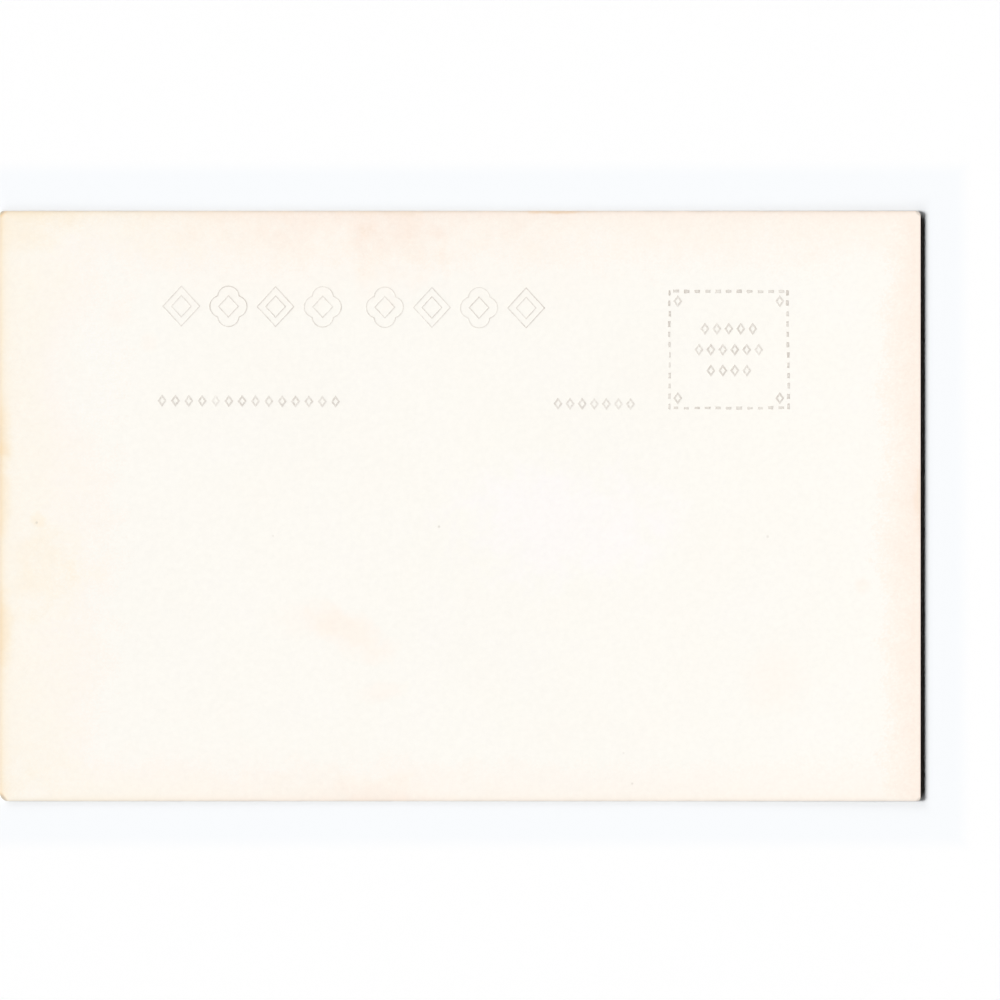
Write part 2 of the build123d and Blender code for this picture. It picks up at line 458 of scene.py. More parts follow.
def quatrefoil(width, height, lobe_radius, inset):
    """Points round four equal lobes on the axes. In each direction the outline is the farthest crossing of
    the four circles: the middle's share of that direction plus the root of what the radius leaves."""
    angle = 2 * np.pi * turn[:, None]
    lobe_angle = np.pi / 2 * np.arange(4)
    offset = np.where(np.arange(4) % 2 == 0, width, height) / 2 - lobe_radius
    radius = lobe_radius - inset
    ahead = offset * np.cos(angle - lobe_angle)
    aside = offset * np.sin(angle - lobe_angle)
    reach = np.max(ahead + np.sqrt(radius**2 - aside**2), axis=1)
    return reach[:, None] * np.concatenate([np.cos(angle), np.sin(angle)], axis=1)


print("a 2 x 2 lozenge reaches", np.round(np.max(lozenge(2, 2, 0.0), axis=0), 3))

# %% [markdown]
# A film of ink fills the dent of its type and stands about a hundredth of a millimetre over the paper, with
# edges a little ragged where it was squeezed into the fibres. No two marks took the same amount of ink, so
# each point carries an attribute, inking, that the material reads later, and each line has its own level.
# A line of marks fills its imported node's box from end to end, and drops as much as the box is taller than
# one mark, because the type was set with a slight tilt.

# %% Films of ink
DENT_DEPTH = 0.016 * MM
INK_PROUD = 0.012 * MM
EDGE_ROUGHNESS = 0.012 * MM
MARK_SPREAD = 0.13
STROKE_SPREAD = 0.12
USUAL_LEVEL = 0.8
LEVELS = {
    "heading_left_group": 0.72,
    "heading_right_group": 0.72,
    "address_caption": 0.66,
    "stamp_rule_top": 1.14,
    "stamp_rule_bottom": 1.14,
    "stamp_rule_left": 1.12,
    "stamp_rule_right": 1.36,
}
SEED = 1926
random = np.random.default_rng(SEED)


def box_in_plan(node):
    """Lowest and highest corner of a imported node, seen from above."""
    low, high = np.array(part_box(node))
    return low[:2], high[:2]


def marks_in_line(node, count, size):
    """Middles of a line's marks, evenly spaced along the node's box and dropping from left to right."""
    low, high = box_in_plan(node)
    reach = high - low - size
    steps = np.linspace(-0.5, 0.5, count)[:, None]
    return (low + high) / 2 + steps * reach * [1, -1]


def wander(*shape):
    """Seeded offsets of about one, each drawn towards its neighbours so that an edge doesn't bristle."""
    offsets = random.normal(size=shape)
    smooth = offsets + np.roll(offsets, 1, axis=-1) + np.roll(offsets, -1, axis=-1)
    return smooth / np.sqrt(3)


def film(plan, is_top):
    """Points of a film from its plan: the top stands proud of the paper and the rest lies in the dent."""
    x, y = plan[..., 0], plan[..., 1]
    height = np.where(is_top, INK_PROUD, -DENT_DEPTH)
    return np.stack([x, y, card_lift(x, y) + back_face + height], axis=-1)


def inked_rings(outer, inner, middles):
    """Closed rings of ink at some middles. One way goes round the mark, the other round its cross-section:
    outer top, inner top, inner bottom, outer bottom."""
    edges = []
    for outline in (outer, inner):
        away = outline / np.linalg.norm(outline, axis=-1, keepdims=True)
        edges.append(outline + EDGE_ROUGHNESS * wander(len(middles), POINTS_ROUND)[..., None] * away)
    outer_edge, inner_edge = edges
    plan = np.stack([outer_edge, inner_edge, inner_edge, outer_edge], axis=-2) + middles[:, None, None]
    points = film(plan, np.array([True, True, False, False]))
    inking = 1 + MARK_SPREAD * random.normal(size=(len(middles), 1))
    inking = inking + STROKE_SPREAD * wander(len(middles), POINTS_ROUND)
    return points.reshape(-1, 3), ring_quads(plan.shape[:-1]), np.repeat(inking.ravel(), 4)


def new_print(node, parts):
    """The piece of ink that stands for one packed line of print. Its parts become one mesh, in which the
    numbers in a part's quads move up by the count of points before it."""
    points, quads, inking = zip(*parts)
    starts = np.cumsum([0, *map(len, points[:-1])])
    quads = np.concatenate([part + start for part, start in zip(quads, starts)])
    piece = new_piece(f"inked_{node}", np.concatenate(points), quads, [node])
    attribute = piece.data.attributes.new("inking", "FLOAT", "POINT")
    attribute.data.foreach_set("value", np.concatenate(inking) * LEVELS.get(node, USUAL_LEVEL))
    return piece


print("the wander of a test edge spreads by", np.round(np.std(wander(1, 1000)), 2))

# %% [markdown]
# The heading's ornaments are drawn with two thin lines: one along the outline and one along a smaller
# lozenge inside it. The two groups mirror each other about the gap between them, so the right one starts
# with a quatrefoil.

# %% Heading
ORNAMENT_WIDTH = 5.75 * MM
ORNAMENT_HEIGHT = 6.25 * MM
ORNAMENTS_PER_GROUP = 4
LINE_THICKNESS = 0.16 * MM
LIMB_WIDTH = 1.1 * MM
LOBE_RADIUS = 1.7 * MM


def ornament_group(node, first_quatrefoil):
    """A group of ornaments in which every second one, from a given place, is a quatrefoil."""
    size = (ORNAMENT_WIDTH, ORNAMENT_HEIGHT)
    middles = marks_in_line(node, ORNAMENTS_PER_GROUP, np.array(size))
    inner_inset = LIMB_WIDTH - LINE_THICKNESS
    foils = [quatrefoil(*size, LOBE_RADIUS, inset) for inset in (0.0, LINE_THICKNESS)]
    diamonds = [lozenge(*size, inset) for inset in (0.0, LINE_THICKNESS)]
    cores = [lozenge(*size, inset) for inset in (inner_inset, LIMB_WIDTH)]
    parts = [
        inked_rings(*foils, middles[first_quatrefoil::2]),
        inked_rings(*diamonds, middles[1 - first_quatrefoil :: 2]),
        inked_rings(*cores, middles),
    ]
    return new_print(node, parts)


prints = [ornament_group("heading_left_group", 1), ornament_group("heading_right_group", 0)]
print([piece.name for piece in prints])

# %% [markdown]
# The captions and the lines inside the stamp frame are rows of one small open lozenge. The frame's corners
# hold one each, at the corners of their node's box.

# %% Captions and lines in the stamp frame
MARK_WIDTH = 1.35 * MM
MARK_HEIGHT = 1.85 * MM
MARK_STROKE = 0.27 * MM
MARK_COUNTS = {
    "message_caption": 14,
    "address_caption": 7,
    "stamp_row_upper": 5,
    "stamp_row_middle": 6,
    "stamp_row_lower": 4,
}
mark_size = np.array([MARK_WIDTH, MARK_HEIGHT])
mark_edges = [lozenge(MARK_WIDTH, MARK_HEIGHT, inset) for inset in (0.0, MARK_STROKE)]

for node, count in MARK_COUNTS.items():
    middles = marks_in_line(node, count, mark_size)
    prints.append(new_print(node, [inked_rings(*mark_edges, middles)]))

low, high = box_in_plan("stamp_corner_marks")
corners = np.array([[-1, -1], [1, -1], [1, 1], [-1, 1]])
middles = (low + high) / 2 + corners * (high - low - mark_size) / 2
prints.append(new_print("stamp_corner_marks", [inked_rings(*mark_edges, middles)]))
print("pieces of print so far:", len(prints))

# %% [markdown]
# The stamp frame is four dashed rules. A dash is a small closed slab, with a grid fine enough for its ragged
# edge. The dashes were worn type: they differ in length and thickness, and stand a little out of line. Some
# rules came out bolder than others, and the right one leans. The press squeezed the ink outwards, so a dash
# is darker along its edge than in its middle.

# %% Dashed rules of the stamp frame
DASH_LENGTH = 0.86 * MM
# Number of dashes, boldness, and lean in millimetres
RULES = {
    "stamp_rule_top": (11, 1.18, 0.0),
    "stamp_rule_bottom": (11, 1.0, 0.0),
    "stamp_rule_left": (12, 0.82, 0.0),
    "stamp_rule_right": (12, 0.94, 0.22),
}
DASH_COLUMNS = 9
DASH_ROWS = 7
DASH_WEAR = 0.09
DASH_ROUGHNESS = 0.025 * MM
MIDDLE_INKING = 0.62
WORN_RULE = "stamp_rule_left"
WORN_END = 0.82


def dashed_rule(node, count, boldness, lean):
    """Closed slabs along the longer side of a node's box, the outer two ending at its ends. Seen from above
    each is a grid over its length and its thickness, both a little worn, and the edges' offsets fade out
    towards its middle. The inking rises from the middle to the edge with the square of the way. A lean moves
    the first dash forward by half of it and the last one back, across the rule."""
    low, high = box_in_plan(node)
    is_long = np.arange(2) == np.argmax(high - low)
    size = np.where(is_long, DASH_LENGTH, high - low)
    steps = np.linspace(-0.5, 0.5, count)[:, None]
    middles = (low + high) / 2 + steps * np.where(is_long, high - low - size, -lean)
    middles = middles + DASH_ROUGHNESS * random.normal(size=(count, 2))
    bold_size = size * np.where(is_long, 1, boldness)
    worn = bold_size / 2 * (1 - DASH_WEAR * np.abs(random.normal(size=(count, 2))))
    u, v = np.meshgrid(np.linspace(-1, 1, DASH_COLUMNS), np.linspace(-1, 1, DASH_ROWS), indexing="ij")
    x = (worn[:, :1, None] + DASH_ROUGHNESS * wander(count, DASH_ROWS)[:, None, :]) * u
    y = (worn[:, 1:, None] + DASH_ROUGHNESS * wander(count, DASH_COLUMNS)[:, :, None]) * v
    plan = np.stack([x, y], axis=-1) + middles[:, None, None]
    points = np.concatenate([film(plan, True).reshape(-1, 3), film(plan, False).reshape(-1, 3)])
    level = 1 + MARK_SPREAD * random.normal(size=(count, 1, 1))
    if node == WORN_RULE:
        level = level * np.linspace(WORN_END, 1 / WORN_END, count)[:, None, None]
    edge = np.maximum(np.abs(u), np.abs(v)) ** 2
    inking = level * (MIDDLE_INKING + (1 - MIDDLE_INKING) * edge)
    quads = np.concatenate(sheet_quads(x.shape))
    return new_print(node, [(points, quads, np.tile(inking.ravel(), 2))])


prints += [dashed_rule(node, count, bold, lean * MM) for node, (count, bold, lean) in RULES.items()]
print("pieces of print:", len(prints), "quads:", sum(len(piece.data.polygons) for piece in prints))

# %% [markdown]
# Old card yellows from its edges inwards, where air and handling reach it. One group works out that toning
# for one side: a broad band whose distance from the side wanders with a noise, so no tide line is straight,
# and a narrow deeper one. Soil is apart from it: a grey that hands left on the last tenths of a millimetre.
# The same group serves four sides with other values. A group starts empty, with the sockets that it is given.

# %% Group: toning from one side
SIDE_VALUES = ("Half Size", "Reach", "Falloff", "Strength", "Handled", "Soil")
HANDLED_DEPTH = 0.6 * MM
SOIL_DEPTH = 0.16 * MM


def new_group(name, inputs, outputs):
    """An empty node group with named sockets: its tree, what comes in and what goes out."""
    tree = bpy.data.node_groups.new(name, "ShaderNodeTree")
    for way, sockets in (("INPUT", inputs), ("OUTPUT", outputs)):
        for socket_name, kind in sockets.items():
            tree.interface.new_socket(socket_name, in_out=way, socket_type=f"NodeSocket{kind}")
    return tree, tree.nodes.new("NodeGroupInput").outputs, tree.nodes.new("NodeGroupOutput").inputs


side_inputs = {"Place": "Vector", "Outward": "Vector", "Wander": "Float"}
side_inputs |= dict.fromkeys(SIDE_VALUES, "Float")
side_toning, into, out = new_group("side_toning", side_inputs, {"Toning": "Float", "Soil": "Float"})
tree = side_toning
outwards = vector_calc(tree, "DOT_PRODUCT", into["Place"], into["Outward"])
distance = calc(tree, "SUBTRACT", into["Half Size"], outwards)
wandered = calc(tree, "MULTIPLY_ADD", into["Wander"], into["Reach"], distance)
nearness = calc(tree, "SUBTRACT", 1.0, calc(tree, "DIVIDE", wandered, into["Reach"]))
nearness = calc(tree, "MINIMUM", calc(tree, "MAXIMUM", nearness, 0.0), 1.0)
band = calc(tree, "MULTIPLY", calc(tree, "POWER", nearness, into["Falloff"]), into["Strength"])
handled = calc(tree, "EXPONENT", calc(tree, "DIVIDE", distance, -HANDLED_DEPTH))
soil = calc(tree, "EXPONENT", calc(tree, "DIVIDE", distance, -SOIL_DEPTH))
set_input(tree, out["Toning"], calc(tree, "MULTIPLY_ADD", handled, into["Handled"], band))
set_input(tree, out["Soil"], calc(tree, "MULTIPLY", soil, into["Soil"]))
print("group", tree.name, "with", len(tree.nodes), "nodes")

# %% [markdown]
# A stain is a soft-edged ellipse with a ragged border. The group turns the place into the stain's own axes,
# divides by its half sizes, and fades from the border to the middle. A noise moves the border in and out.
# A whole table of stains can then be added up, one group for each.

# %% Group: one stain
STAIN_BORDER = 1.0
STAIN_HEART = 0.25

stain_inputs = {"Place": "Vector", "Middle": "Vector", "Half Size": "Vector"}
stain_inputs |= {"Turn": "Float", "Wander": "Float", "Strength": "Float"}
stain_mark, into, out = new_group("stain_mark", stain_inputs, {"Toning": "Float"})
tree = stain_mark
turn_inputs = {"Vector": vector_calc(tree, "SUBTRACT", into["Place"], into["Middle"]), "Angle": into["Turn"]}
turned = add_node(tree, "ShaderNodeVectorRotate", turn_inputs, rotation_type="Z_AXIS").outputs[0]
reach = vector_calc(tree, "LENGTH", vector_calc(tree, "DIVIDE", turned, into["Half Size"]))
soft = fade(tree, calc(tree, "ADD", reach, into["Wander"]), STAIN_BORDER, STAIN_HEART)
set_input(tree, out["Toning"], calc(tree, "MULTIPLY", soft, into["Strength"]))


def use_group(tree, group, inputs):
    """Places a group in a tree and gives its outputs."""
    return add_node(tree, "ShaderNodeGroup", inputs, node_tree=group).outputs


def add_stains(tree, place, total, stains, border_wander):
    """Adds a table of stains to a value. Each is a metre deep, so that height makes no difference to it."""
    for x, y, half_x, half_y, angle, strength in stains.values():
        inputs = {
            "Place": place,
            "Middle": (x * MM, y * MM, 0),
            "Half Size": (half_x * MM, half_y * MM, 1.0),
            "Turn": np.radians(-angle),
            "Wander": border_wander,
            "Strength": strength,
        }
        total = calc(tree, "ADD", total, use_group(tree, stain_mark, inputs)["Toning"])
    return total


print("group", tree.name, "with", len(tree.nodes), "nodes")

# %% [markdown]
# The toning is a number, and a row of paper colours says what it looks like, from clean white to handled
# brown. The left end has yellowed and the rest has turned a greyer rose, so there are two such rows. The
# tables below describe this one card: how far in each side has toned and how strongly, and where its stains
# lie. A negative stain is a place that has stayed cleaner. Specks and worn corners are soil, not toning.

# %% Tones, sides, stains and specks
# Toning, and its colour at the left end and on the rest
TONES = (
    (-0.25, (255, 251, 248), (255, 251, 249)),
    (0.0, (254, 251, 244), (254, 251, 244)),
    (0.25, (255, 249, 241), (255, 249, 241)),
    (0.5, (255, 249, 238), (255, 247, 237)),
    (1.0, (254, 242, 222), (254, 240, 228)),
    (2.0, (248, 219, 176), (244, 216, 187)),
)
# Direction, then what SIDE_VALUES names
SIDES = {
    "left": ((-1, 0, 0), half_length, 17 * MM, 0.5, 0.58, 0.85, 0.4),
    "right": ((1, 0, 0), half_length, 6 * MM, 0.5, 0.94, 0.08, 0.0),
    "top": ((0, 1, 0), half_width, 9 * MM, 0.7, 0.62, 0.62, 0.8),
    "bottom": ((0, -1, 0), half_width, 6 * MM, 0.5, 0.37, 0.4, 0.75),
}
# x and y of the middle and half sizes in millimetres, turn in degrees, and strength
STAINS = {
    "comma": (-16.4, -19.2, 9, 4, -31, 0.45),
    "comma_halo": (-23, -17.3, 8, 4, 0, 0.15),
    "drop_below": (-12, -28, 4.2, 2.2, 12, 0.25),
    "top_wash": (-10.2, 39, 11, 9.5, 0, 0.22),
    "top_wash_lobe": (-14, 37.3, 3, 6, 0, 0.16),
    "top_second_wash": (-24.4, 39.8, 5, 6, 0, 0.12),
    "top_left_wash": (-28, 37, 36, 10, 0, 0.16),
    "top_edge_wash": (-14, 44, 30, 5, 0, 0.12),
    "top_edge_line": (15, 44.4, 7.5, 0.6, 0, 0.9),
    "top_middle_wash": (12, 36, 24, 9, 0, 0.1),
    "bottom_left_wash": (-40, -45, 55, 12, 0, 0.14),
    "top_left_corner": (-65, 43, 13, 6, 0, 0.24),
    "bottom_left_tip": (-69, -44.2, 1.9, 0.8, -45, 0.7),
    "top_left_tip": (-69.2, 44.3, 1.9, 0.9, 45, 0.9),
    "left_clear": (-57.3, 20, 8, 13, 0, -0.28),
    "left_cloud": (-61.8, -10.5, 7, 10.5, 0, 0.23),
    "left_cloud_arm": (-56.5, -9.3, 5, 3.5, 0, 0.2),
    "left_spot": (-63.6, -1.8, 1.6, 1.6, 0, 0.25),
    "heading_spot": (-46.8, 24.6, 2, 2, 0, 0.2),
    "margin_spot": (-52, 28.7, 2.6, 2.6, 0, 0.2),
    "right_spot": (60.7, -11.9, 1.7, 1.7, 0, 0.35),
    "pale_pink": (47.4, -26.3, 6.5, 6.5, 0, 0.2),
    "right_edge": (69.3, 1, 1.4, 7, 0, 0.3),
    "left_edge_upper": (-69.3, 10.5, 2.6, 6.5, 0, 0.35),
    "left_edge_middle": (-69.3, 2.5, 2.2, 9, 0, 0.3),
    "left_edge_lower": (-69.3, -19, 2.6, 8, 0, 0.42),
    "bottom_wash": (-12, -44, 9, 5, 0, 0.25),
    "pale_heart": (15, -3, 22, 12, 0, -0.21),
}
SPECK = 0.26
SPECKS = {
    "speck_left": (-63.8, -2.5, SPECK, SPECK, 0, 0.35),
    "speck_inner_left": (-28.2, -4.5, SPECK, SPECK, 0, 0.25),
    "speck_middle": (-3.2, -3.1, SPECK, SPECK, 0, 0.4),
    "speck_right": (46.3, -4.6, SPECK, SPECK, 0, 0.25),
    "speck_lowest": (25.9, -41.8, SPECK, SPECK, 0, 0.3),
    "speck_low": (24.6, -37.2, SPECK, SPECK, 0, 0.2),
    "top_left_soil": (-69.2, 44.3, 1.2, 0.6, 45, 0.65),
    "bottom_left_soil": (-69, -44.2, 1.4, 0.6, -45, 0.75),
    "top_right_soil": (69.15, 44.2, 1, 0.5, -45, 0.6),
    "bottom_right_soil": (69.15, -44.25, 0.9, 0.45, 45, 0.5),
}
print(len(SIDES), "sides,", len(STAINS), "stains and", len(SPECKS), "specks")

# %% [markdown]
# The tone of the whole card is one group, because the paper, its cut edge, the ink that lies on it and the
# border of the picture all share it. It takes the strongest of the four sides, adds the stains and looks the
# sum up in both rows of colours, which are mixed along the card. A fine grain, the felt of the paper, shifts
# the sum by a hair, clouds of denser pulp dim it, and patchy soil lies over it all.

# %% Group: tone of the card
YELLOW_END = -20 * MM
PULP_CLOUDS = 0.085
SOIL_COLOR = (196, 187, 176)
SOIL_SWING = 0.3
THIN_SOIL = 0.45


def noise(tree, place, feature, detail=2.0, roughness=0.5):
    """Noise about 0.5 whose features have a size in metres."""
    inputs = {"Vector": place, "Scale": 1 / feature, "Detail": detail, "Roughness": roughness}
    return add_node(tree, "ShaderNodeTexNoise", inputs).outputs[0]


def swing(tree, place, **settings):
    """The same noise about 0."""
    return calc(tree, "SUBTRACT", noise(tree, place, **settings), 0.5)


def weighted_sum(tree, *terms):
    """Sum of values, each times its weight."""
    total = 0.0
    for value, weight in terms:
        total = calc(tree, "MULTIPLY_ADD", value, weight, total)
    return total


def color_ramp(tree, value, stops):
    """Colour that passes through stops, each a place from 0 to 1 and a screen colour."""
    node = add_node(tree, "ShaderNodeValToRGB", {0: value})
    while len(node.color_ramp.elements) < len(stops):
        node.color_ramp.elements.new(0.5)
    for element, (position, color) in zip(node.color_ramp.elements, stops):
        element.position = position
        element.color = screen_color(*color)
    return node.outputs[0]


toned_card, into, out = new_group("toned_card", {"Place": "Vector"}, {"Color": "Color"})
tree = toned_card
place = into["Place"]
broad = swing(tree, place, feature=13 * MM, detail=3.0)
small = swing(tree, place, feature=3.2 * MM, detail=4.0, roughness=0.6)
felt = swing(tree, place, feature=0.35 * MM, detail=3.0, roughness=0.6)
pulp = swing(tree, place, feature=0.7 * MM, detail=4.0, roughness=0.6)
side_wander = weighted_sum(tree, (small, 0.7), (felt, 1.3), (broad, 1.1))
stain_wander = weighted_sum(tree, (small, 0.9), (broad, 0.5))
toning = 0.0
soil = 0.0
for outward, *values in SIDES.values():
    inputs = {"Place": place, "Outward": outward, "Wander": side_wander} | dict(zip(SIDE_VALUES, values))
    side = use_group(tree, side_toning, inputs)
    toning = calc(tree, "MAXIMUM", toning, side["Toning"])
    soil = calc(tree, "MAXIMUM", soil, side["Soil"])
toning = add_stains(tree, place, toning, STAINS, stain_wander)
toning = weighted_sum(tree, (toning, 1.0), (broad, 0.2), (felt, 0.16))
tones, *color_rows = zip(*TONES)
tone_span = tones[-1] - tones[0]
share = calc(tree, "DIVIDE", calc(tree, "SUBTRACT", toning, tones[0]), tone_span)
positions = [(tone - tones[0]) / tone_span for tone in tones]
end_colors = [color_ramp(tree, share, list(zip(positions, row))) for row in color_rows]
along = fade(tree, axes_of(tree, place)["X"], -half_length, YELLOW_END)
clouds = calc(tree, "MULTIPLY_ADD", pulp, PULP_CLOUDS, 1.0)
clean_color = blend(tree, 1.0, blend(tree, along, *end_colors), clouds, "MULTIPLY")
soil = calc(tree, "MULTIPLY", soil, fade(tree, small, -SOIL_SWING, SOIL_SWING, low=THIN_SOIL))
soil = add_stains(tree, place, soil, SPECKS, small)
set_input(tree, out["Color"], blend(tree, soil, clean_color, screen_color(*SOIL_COLOR)))
print("group", tree.name, "with", len(tree.nodes), "nodes")

# %% [markdown]
# The back of the card is matte, uncoated paper. It scatters light almost evenly, so the shader is rough and
# without gloss, or it would turn pale where it is seen at a flat angle. A very low bump shows the felt
# when light grazes it.

# %% Material: paper of the back
def set_surface(tree, shader, color, grain, roughness, specular):
    """Gives a shader its colour and gloss, and a roughness that a grain moves between two values."""
    smoothest, roughest = roughness
    set_input(tree, shader.inputs["Base Color"], color)
    rough = calc(tree, "MULTIPLY_ADD", grain, roughest - smoothest, smoothest)
    set_input(tree, shader.inputs["Roughness"], rough)
    set_input(tree, shader.inputs["Specular IOR Level"], specular)


def add_bump(tree, shader, height, strength, distance):
    """Gives a shader the bumps of a height, which stand for a distance in metres."""
    inputs = {"Height": height, "Strength": strength, "Distance": distance}
    set_input(tree, shader.inputs["Normal"], add_node(tree, "ShaderNodeBump", inputs).outputs[0])


paper, tree, shader, place = new_material("card_paper")
tone = use_group(tree, toned_card, {"Place": place})["Color"]
felt = noise(tree, place, feature=0.22 * MM, detail=4.0, roughness=0.65)
set_surface(tree, shader, tone, felt, roughness=(0.8, 0.92), specular=0.0)
add_bump(tree, shader, felt, strength=0.25, distance=0.003 * MM)
print("material", paper.name)

# %% [markdown]
# The trimmed edge shows the paper's thickness: layers of pressed fibre, browned by air and soiled by hands.
# Its noise is stretched along the edge by squeezing the height, so the fibres lie in layers.

# %% Material: cut edge of the paper
FIBRE_TONES = ((0.25, (160, 143, 117)), (0.5, (192, 177, 152)), (0.8, (220, 207, 186)))
FIBRE_LAYERS = (1.0, 1.0, 14.0)
CARD_TONE_SHARE = 0.2


def rescaled(tree, place, factors):
    """The place with each axis times a factor: a noise there is that much finer along it."""
    return add_node(tree, "ShaderNodeMapping", {"Vector": place, "Scale": factors}).outputs[0]


cut_edge, tree, shader, place = new_material("cut_edge")
tone = use_group(tree, toned_card, {"Place": place})["Color"]
fibre = noise(tree, rescaled(tree, place, FIBRE_LAYERS), feature=0.5 * MM, detail=4.0, roughness=0.7)
edge_color = blend(tree, CARD_TONE_SHARE, color_ramp(tree, fibre, FIBRE_TONES), tone)
set_surface(tree, shader, edge_color, fibre, roughness=(0.78, 0.93), specular=0.0)
add_bump(tree, shader, fibre, strength=0.6, distance=0.02 * MM)
print("material", cut_edge.name)

# %% [markdown]
# The ink is a thin warm grey that has sunk into the paper unevenly. Where it is thin the paper shows
# through, so its colour is mixed over the card's own tone by a coverage: a fine mottle from the felt and a
# slow change from the pressure of the type, times the inking that each mark carries.

# %% Material: letterpress ink
INK_COLOR = (208, 200, 191)
COVERAGE_START = 0.35
COVERAGE_END = 1.25
THIN_COVERAGE = 0.35

ink, tree, shader, place = new_material("letterpress_ink")
tone = use_group(tree, toned_card, {"Place": place})["Color"]
mottle = noise(tree, place, feature=0.3 * MM, detail=3.0, roughness=0.6)
pressure = noise(tree, place, feature=4 * MM)
coverage = weighted_sum(tree, (pressure, 0.6), (mottle, 1.1))
coverage = fade(tree, coverage, COVERAGE_START, COVERAGE_END, low=THIN_COVERAGE)
inking = add_node(tree, "ShaderNodeAttribute", {}, attribute_name="inking").outputs["Fac"]
coverage = calc(tree, "MINIMUM", calc(tree, "MULTIPLY", coverage, inking), 1.0)
ink_color = blend(tree, coverage, tone, screen_color(*INK_COLOR))
set_surface(tree, shader, ink_color, mottle, roughness=(0.6, 0.8), specular=0.1)
add_bump(tree, shader, mottle, strength=0.3, distance=0.004 * MM)
print("material", ink.name)

# %% [markdown]
# Baryta is a chalky white ground between the paper and the picture. Only its edge shows, as a fine pale
# line round the card, a little broken and yellowed like the paper beside it.

# %% Material: baryta
CHALK_TONES = ((0.3, (228, 218, 200)), (0.7, (246, 241, 231)))

baryta, tree, shader, place = new_material("baryta_white")
chalk = noise(tree, place, feature=0.4 * MM, detail=3.0, roughness=0.6)
chalk_color = color_ramp(tree, chalk, CHALK_TONES)
set_surface(tree, shader, chalk_color, chalk, roughness=(0.65, 0.85), specular=0.25)
print("material", baryta.name)

# %% [markdown]
# The picture side doesn't show, so it holds a quiet landscape of no particular place, with a white border:
# sky, two ranges of hills, a wooded shore, water and a dark bank. Each range is a noise over x that gives
# the height of its skyline, and a seed moves along that noise so that no two look alike. One group draws a
# skyline, and the picture stacks four of them.

# %% Group: a skyline
SKYLINE_VALUES = ("Seed", "Feature", "Rough", "Base", "Rise", "Softness")
RIDGE_DETAIL = 7.0

skyline_inputs = {"Place": "Vector"} | dict.fromkeys(SKYLINE_VALUES, "Float")
skyline, into, out = new_group("skyline", skyline_inputs, {"Below": "Float", "Depth": "Float"})
tree = skyline
axes = axes_of(tree, into["Place"])
along = calc(tree, "ADD", calc(tree, "DIVIDE", axes["X"], into["Feature"]), into["Seed"])
ridge_inputs = {"W": along, "Scale": 1.0, "Detail": RIDGE_DETAIL, "Roughness": into["Rough"]}
ridge = add_node(tree, "ShaderNodeTexNoise", ridge_inputs, noise_dimensions="1D").outputs[0]
top = calc(tree, "MULTIPLY_ADD", ridge, into["Rise"], into["Base"])
depth = calc(tree, "SUBTRACT", top, axes["Y"])
set_input(tree, out["Below"], fade(tree, calc(tree, "DIVIDE", depth, into["Softness"]), -0.5, 0.5))
set_input(tree, out["Depth"], depth)


def add_skyline(tree, place, values):
    """Places a skyline with its values and gives its outputs."""
    return use_group(tree, skyline, {"Place": place} | dict(zip(SKYLINE_VALUES, values)))


print("group", tree.name, "with", len(tree.nodes), "nodes")

# %% [markdown]
# The landscape is worked out as one brightness, from the back to the front: sky and clouds, then the three
# ranges, each paler towards its foot, where mist lies, then water that mirrors the shore, and the bank.
# Film grain lies over it all.

# %% Landscape in silver
SKY_LIGHT = (0.86, 0.62)
CLOUD_STRETCH = (0.35, 1.0, 1.0)
CLOUD_EDGE = (0.45, 0.75)
CLOUD_LIGHT = 0.2
# What SKYLINE_VALUES names, then shade, mist over a millimetre of depth, and texture of the leaves
HILLS = (
    ((3.3, 46 * MM, 0.5, 2 * MM, 30 * MM, 0.5 * MM), 0.6, 0.006, 0.1),
    ((8.6, 33 * MM, 0.52, -6 * MM, 24 * MM, 0.3 * MM), 0.42, 0.007, 0.2),
    ((5.1, 8 * MM, 0.75, -7.5 * MM, 9 * MM, 0.25 * MM), 0.14, 0.004, 0.3),
)
SHORE = -6.0 * MM
SHORE_BLUR = 0.1 * MM
WATER_LIGHT = (0.52, 0.66)
RIPPLE_STRETCH = (0.05, 1.0, 1.0)
RIPPLE_LIGHT = 0.5
REFLECTION_DEPTH = 9 * MM
REFLECTION_SHADE = 0.42
BANK = (1.7, 38 * MM, 0.62, -50 * MM, 34 * MM, 0.3 * MM)
GRASS_LIGHT = 0.5
GRASS_BASE = -0.08
GRAIN_LIGHT = 0.12


def mix_values(tree, factor, first, second):
    """Value that goes from the first to the second with the factor."""
    return add_node(tree, "ShaderNodeMix", {0: factor, 2: first, 3: second}).outputs[0]


silver, tree, shader, place = new_material("silver_picture")
axes = axes_of(tree, place)
clouds = noise(tree, rescaled(tree, place, CLOUD_STRETCH), feature=9 * MM, detail=6.0)
picture = fade(tree, axes["Y"], 0.0, half_width, *SKY_LIGHT)
picture = calc(tree, "MULTIPLY_ADD", fade(tree, clouds, *CLOUD_EDGE), CLOUD_LIGHT, picture)
foliage = swing(tree, place, feature=1.6 * MM, detail=5.0, roughness=0.65)
for ridge_values, shade, mist, texture in HILLS:
    hill = add_skyline(tree, place, ridge_values)
    hill_light = calc(tree, "MULTIPLY_ADD", hill["Depth"], mist / MM, shade)
    hill_light = calc(tree, "MULTIPLY_ADD", foliage, texture, hill_light)
    picture = mix_values(tree, hill["Below"], picture, hill_light)
ripple_place = rescaled(tree, place, RIPPLE_STRETCH)
ripples = swing(tree, ripple_place, feature=1.3 * MM, detail=5.0, roughness=0.6)
water = fade(tree, axes["Y"], -half_width, SHORE, *WATER_LIGHT)
water = calc(tree, "MULTIPLY_ADD", ripples, RIPPLE_LIGHT, water)
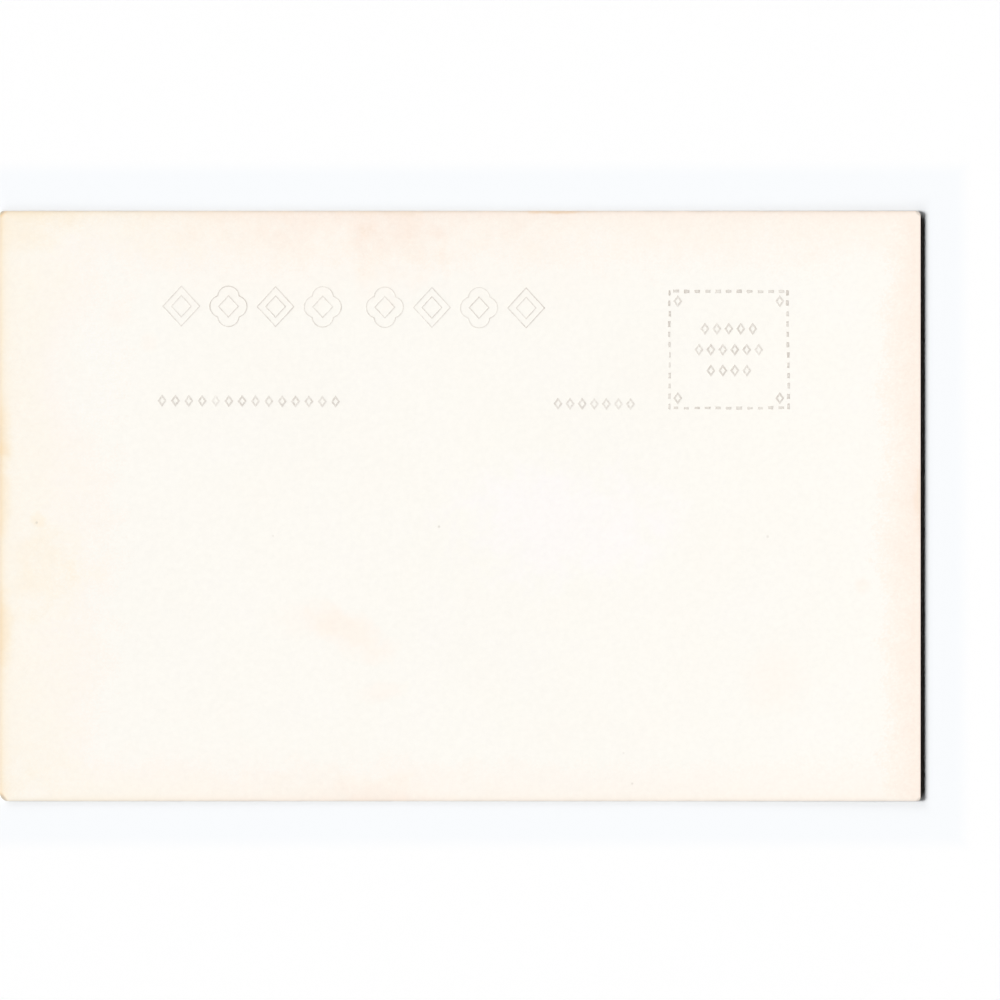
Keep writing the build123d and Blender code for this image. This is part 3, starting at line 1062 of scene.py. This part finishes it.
reflection = fade(tree, axes["Y"], SHORE - REFLECTION_DEPTH, SHORE, high=REFLECTION_SHADE)
water = calc(tree, "SUBTRACT", water, reflection)
below_shore = fade(tree, axes["Y"], SHORE + SHORE_BLUR, SHORE - SHORE_BLUR)
picture = mix_values(tree, below_shore, picture, water)
grass = noise(tree, place, feature=0.9 * MM, detail=6.0, roughness=0.7)
grass = calc(tree, "MULTIPLY_ADD", grass, GRASS_LIGHT, GRASS_BASE)
picture = mix_values(tree, add_skyline(tree, place, BANK)["Below"], picture, grass)
grain = swing(tree, place, feature=0.18 * MM)
picture = calc(tree, "MULTIPLY_ADD", grain, GRAIN_LIGHT, picture)
print("landscape of", len(HILLS), "ranges in", len(tree.nodes), "nodes")

# %% [markdown]
# The brightness is then toned: warm black in the shadows, cream in the lights. The border is clear paper.
# Gelatin gives the face a gloss that many fingers have dulled in patches, and along the border the darkest
# silver has turned into a bluish mirror.

# %% Material: silver picture under gelatin
SILVER_TONES = ((0.02, (40, 35, 31)), (0.45, (126, 117, 105)), (0.95, (238, 230, 214)))
BORDER = 4.2 * MM
BORDER_BLUR = 0.05 * MM
GELATIN_COLOR = (246, 242, 234)
MIRROR_COLOR = (138, 144, 152)
MIRROR_WIDTH = 7 * MM
MIRROR_STRENGTH = 0.55
DARK_SILVER = (0.4, 0.1)
DULLED_PATCH = (0.3, 0.8)
FACE_ROUGHNESS = (0.14, 0.34)

from_ends = calc(tree, "SUBTRACT", half_length, calc(tree, "ABSOLUTE", axes["X"]))
from_edges = calc(tree, "SUBTRACT", half_width, calc(tree, "ABSOLUTE", axes["Y"]))
from_border = calc(tree, "SUBTRACT", calc(tree, "MINIMUM", from_ends, from_edges), BORDER)
in_picture = fade(tree, from_border, -BORDER_BLUR, BORDER_BLUR)
tone = use_group(tree, toned_card, {"Place": place})["Color"]
border_color = blend(tree, 1.0, tone, screen_color(*GELATIN_COLOR), "MULTIPLY")
face_color = blend(tree, in_picture, border_color, color_ramp(tree, picture, SILVER_TONES))
near_border = fade(tree, from_border, MIRROR_WIDTH, 0.0)
mirror = calc(tree, "MULTIPLY", near_border, fade(tree, picture, *DARK_SILVER))
mirror = calc(tree, "MULTIPLY", calc(tree, "MULTIPLY", mirror, in_picture), MIRROR_STRENGTH)
face_color = blend(tree, mirror, face_color, screen_color(*MIRROR_COLOR))
dulled = noise(tree, place, feature=8 * MM, detail=5.0, roughness=0.65)
set_input(tree, shader.inputs["Base Color"], face_color)
set_input(tree, shader.inputs["Metallic"], mirror)
set_input(tree, shader.inputs["Roughness"], fade(tree, dulled, *DULLED_PATCH, *FACE_ROUGHNESS))
print("material", silver.name, "with", len(tree.nodes), "nodes")

# %% [markdown]
# Each layer gets one material for its faces and one for its walls. The print takes the ink alone.

# %% Dress the pieces
layers = ((card_stock, paper, cut_edge), (baryta_band, baryta, baryta), (picture_face, silver, baryta))
for piece, face_material, wall_material in layers:
    piece.data.materials[0] = face_material
    piece.data.materials[1] = wall_material
for piece in prints:
    piece.data.materials.append(ink)
print("dressed", len(layers) + len(prints), "pieces")
